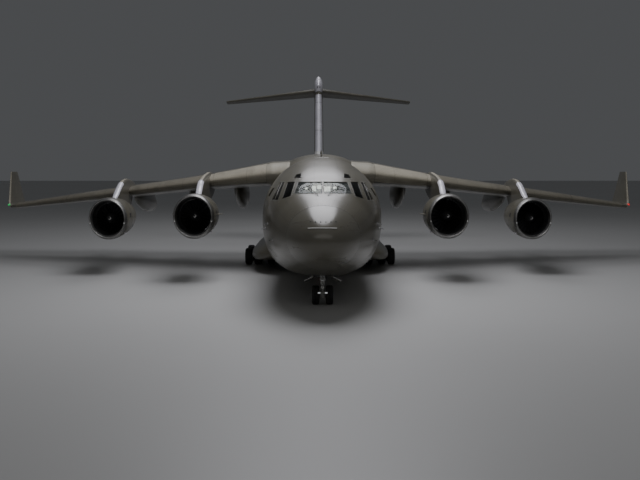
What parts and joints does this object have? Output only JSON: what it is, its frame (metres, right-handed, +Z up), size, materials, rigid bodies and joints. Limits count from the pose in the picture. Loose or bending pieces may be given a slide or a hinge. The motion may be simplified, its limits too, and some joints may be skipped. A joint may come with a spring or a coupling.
{
  "type": "military transport plane, 1:2 scale model",
  "caption": "High-wing jet transport with a T-tail, winglets, underwing engines, a hollow hold with ramp and doors, and turning fans, wheels and control surfaces.",
  "frame": {"origin": "on the ground under the middle of the aircraft", "axes": "+Z up, +Y aft, the nose points along -Y, +X to port"},
  "size_m": [25.9294, 26.52, 8.395],
  "materials": {
    "grey_paint": "warm mid grey satin paint, lighter and speckled along the leading edges",
    "radome": "grey paint, smoother and glossier",
    "cockpit_glass": "clear coated glass",
    "deck": "worn dark grey floor paint",
    "fan_metal": "dark satin metal blades",
    "gear_paint": "white gloss gear paint",
    "bay_paint": "white bay paint",
    "tyre": "black rubber, worn tread"
  },
  "bodies": {
    "root": {"aft_fuselage": "grey_paint", "cargo_floor": "deck", "centre_fuselage": "grey_paint", "cockpit_glass": "cockpit_glass", "crown_fairing": "grey_paint", "fin": "grey_paint", "flight_deck": "deck", "forward_fuselage": "grey_paint", "main_strut_front_port": "gear_paint", "main_strut_front_starboard": "gear_paint", "main_strut_rear_port": "gear_paint", "main_strut_rear_starboard": "gear_paint", "nacelle_inner_port": "grey_paint", "nacelle_inner_starboard": "grey_paint", "nacelle_outer_port": "grey_paint", "nacelle_outer_starboard": "grey_paint", "nose_bay": "bay_paint", "nose_gear_door_port": "grey_paint", "nose_gear_door_starboard": "grey_paint", "nose_leg": "gear_paint", "paratroop_door_port": "grey_paint", "paratroop_door_starboard": "grey_paint", "pylon_inner_port": "grey_paint", "pylon_inner_starboard": "grey_paint", "pylon_outer_port": "grey_paint", "pylon_outer_starboard": "grey_paint", "radome": "radome", "sponson_port": "grey_paint", "sponson_starboard": "grey_paint", "stabiliser": "grey_paint", "tail_cone": "grey_paint", "wing_centre_section": "grey_paint", "wing_port": "grey_paint", "wing_starboard": "grey_paint", "winglet_port": "grey_paint", "winglet_starboard": "grey_paint"},
    "fan_inner_port": {"fan_inner_port": "fan_metal"},
    "fan_outer_port": {"fan_outer_port": "fan_metal"},
    "flap_inner_port": {"flap_inner_port": "grey_paint"},
    "flap_outer_port": {"flap_outer_port": "grey_paint"},
    "aileron_port": {"aileron_port": "grey_paint"},
    "elevator_port": {"elevator_port": "grey_paint"},
    "main_wheels_front_port": {"main_wheels_front_port": "tyre"},
    "main_wheels_rear_port": {"main_wheels_rear_port": "tyre"},
    "fan_inner_starboard": {"fan_inner_starboard": "fan_metal"},
    "fan_outer_starboard": {"fan_outer_starboard": "fan_metal"},
    "flap_inner_starboard": {"flap_inner_starboard": "grey_paint"},
    "flap_outer_starboard": {"flap_outer_starboard": "grey_paint"},
    "aileron_starboard": {"aileron_starboard": "grey_paint"},
    "elevator_starboard": {"elevator_starboard": "grey_paint"},
    "main_wheels_front_starboard": {"main_wheels_front_starboard": "tyre"},
    "main_wheels_rear_starboard": {"main_wheels_rear_starboard": "tyre"},
    "rudder_lower": {"rudder_lower": "grey_paint"},
    "rudder_upper": {"rudder_upper": "grey_paint"},
    "nose_steering": {"nose_steering": "gear_paint"},
    "nose_wheels": {"nose_wheels": "tyre"},
    "ramp": {"ramp": "grey_paint"},
    "cargo_door": {"cargo_door": "grey_paint"},
    "crew_door": {"crew_door": "grey_paint"}
  },
  "joints": [
    {"name": "fan_inner_port_turn", "type": "hinge", "parent": "root", "child": "fan_inner_port", "pos_m": [4.02, -6.185, 2.135], "axis": [0, 1, 0], "continuous": true},
    {"name": "fan_outer_port_turn", "type": "hinge", "parent": "root", "child": "fan_outer_port", "pos_m": [7.23, -4.185, 1.95], "axis": [0, 1, 0], "continuous": true},
    {"name": "flap_inner_port_turn", "type": "hinge", "parent": "root", "child": "flap_inner_port", "pos_m": [3.1, -0.0404, 2.2542], "axis": [-0.9602, -0.2535, 0.1171], "range_deg": [0, 35]},
    {"name": "flap_outer_port_turn", "type": "hinge", "parent": "root", "child": "flap_outer_port", "pos_m": [7.15, 1.0288, 2.0601], "axis": [-0.9602, -0.2535, 0.1171], "range_deg": [0, 35]},
    {"name": "aileron_port_turn", "type": "hinge", "parent": "root", "child": "aileron_port", "pos_m": [9.4, 1.6228, 2.5356], "axis": [-0.9602, -0.2535, 0.1171], "range_deg": [-20, 20]},
    {"name": "elevator_port_turn", "type": "hinge", "parent": "root", "child": "elevator_port", "pos_m": [0, 11.35, 7.65], "axis": [-0.9568, -0.2838, 0.0638], "range_deg": [-25, 15]},
    {"name": "main_wheels_front_port_turn", "type": "hinge", "parent": "root", "child": "main_wheels_front_port", "pos_m": [2.125, -1.235, 0.3175], "axis": [1, 0, 0], "continuous": true},
    {"name": "main_wheels_rear_port_turn", "type": "hinge", "parent": "root", "child": "main_wheels_rear_port", "pos_m": [2.125, 0.04, 0.3175], "axis": [1, 0, 0], "continuous": true},
    {"name": "fan_inner_starboard_turn", "type": "hinge", "parent": "root", "child": "fan_inner_starboard", "pos_m": [-4.02, -6.185, 2.135], "axis": [0, 1, 0], "continuous": true},
    {"name": "fan_outer_starboard_turn", "type": "hinge", "parent": "root", "child": "fan_outer_starboard", "pos_m": [-7.23, -4.185, 1.95], "axis": [0, 1, 0], "continuous": true},
    {"name": "flap_inner_starboard_turn", "type": "hinge", "parent": "root", "child": "flap_inner_starboard", "pos_m": [-3.1, -0.0404, 2.2542], "axis": [-0.9602, 0.2535, -0.1171], "range_deg": [0, 35]},
    {"name": "flap_outer_starboard_turn", "type": "hinge", "parent": "root", "child": "flap_outer_starboard", "pos_m": [-7.15, 1.0288, 2.0601], "axis": [-0.9602, 0.2535, -0.1171], "range_deg": [0, 35]},
    {"name": "aileron_starboard_turn", "type": "hinge", "parent": "root", "child": "aileron_starboard", "pos_m": [-9.4, 1.6228, 2.5356], "axis": [-0.9602, 0.2535, -0.1171], "range_deg": [-20, 20]},
    {"name": "elevator_starboard_turn", "type": "hinge", "parent": "root", "child": "elevator_starboard", "pos_m": [0, 11.35, 7.65], "axis": [-0.9568, 0.2838, -0.0638], "range_deg": [-25, 15]},
    {"name": "main_wheels_front_starboard_turn", "type": "hinge", "parent": "root", "child": "main_wheels_front_starboard", "pos_m": [-2.125, -1.235, 0.3175], "axis": [1, 0, 0], "continuous": true},
    {"name": "main_wheels_rear_starboard_turn", "type": "hinge", "parent": "root", "child": "main_wheels_rear_starboard", "pos_m": [-2.125, 0.04, 0.3175], "axis": [1, 0, 0], "continuous": true},
    {"name": "rudder_lower_turn", "type": "hinge", "parent": "root", "child": "rudder_lower", "pos_m": [0, 9.34, 4.3], "axis": [0, 0.4692, 0.8831], "range_deg": [-25, 25]},
    {"name": "rudder_upper_turn", "type": "hinge", "parent": "root", "child": "rudder_upper", "pos_m": [0, 9.34, 4.3], "axis": [0, 0.4692, 0.8831], "range_deg": [-25, 25]},
    {"name": "nose_steer", "type": "hinge", "parent": "root", "child": "nose_steering", "pos_m": [0, -10.64, 0.255], "axis": [0, 0, 1], "range_deg": [-65, 65]},
    {"name": "nose_wheels_turn", "type": "hinge", "parent": "nose_steering", "child": "nose_wheels", "pos_m": [0, -10.64, 0.255], "axis": [1, 0, 0], "continuous": true},
    {"name": "ramp_turn", "type": "hinge", "parent": "root", "child": "ramp", "pos_m": [0, 3.74, 0.60253], "axis": [-1, 0, 0], "range_deg": [0, 26]},
    {"name": "cargo_door_turn", "type": "hinge", "parent": "root", "child": "cargo_door", "pos_m": [0, 8.94, 2.30032], "axis": [-1, 0, 0], "range_deg": [0, 35]},
    {"name": "crew_door_turn", "type": "hinge", "parent": "root", "child": "crew_door", "pos_m": [1.34246, -9.235, 1.05], "axis": [0.1712, 0.9852, 0], "range_deg": [0, 120]}
  ]
}
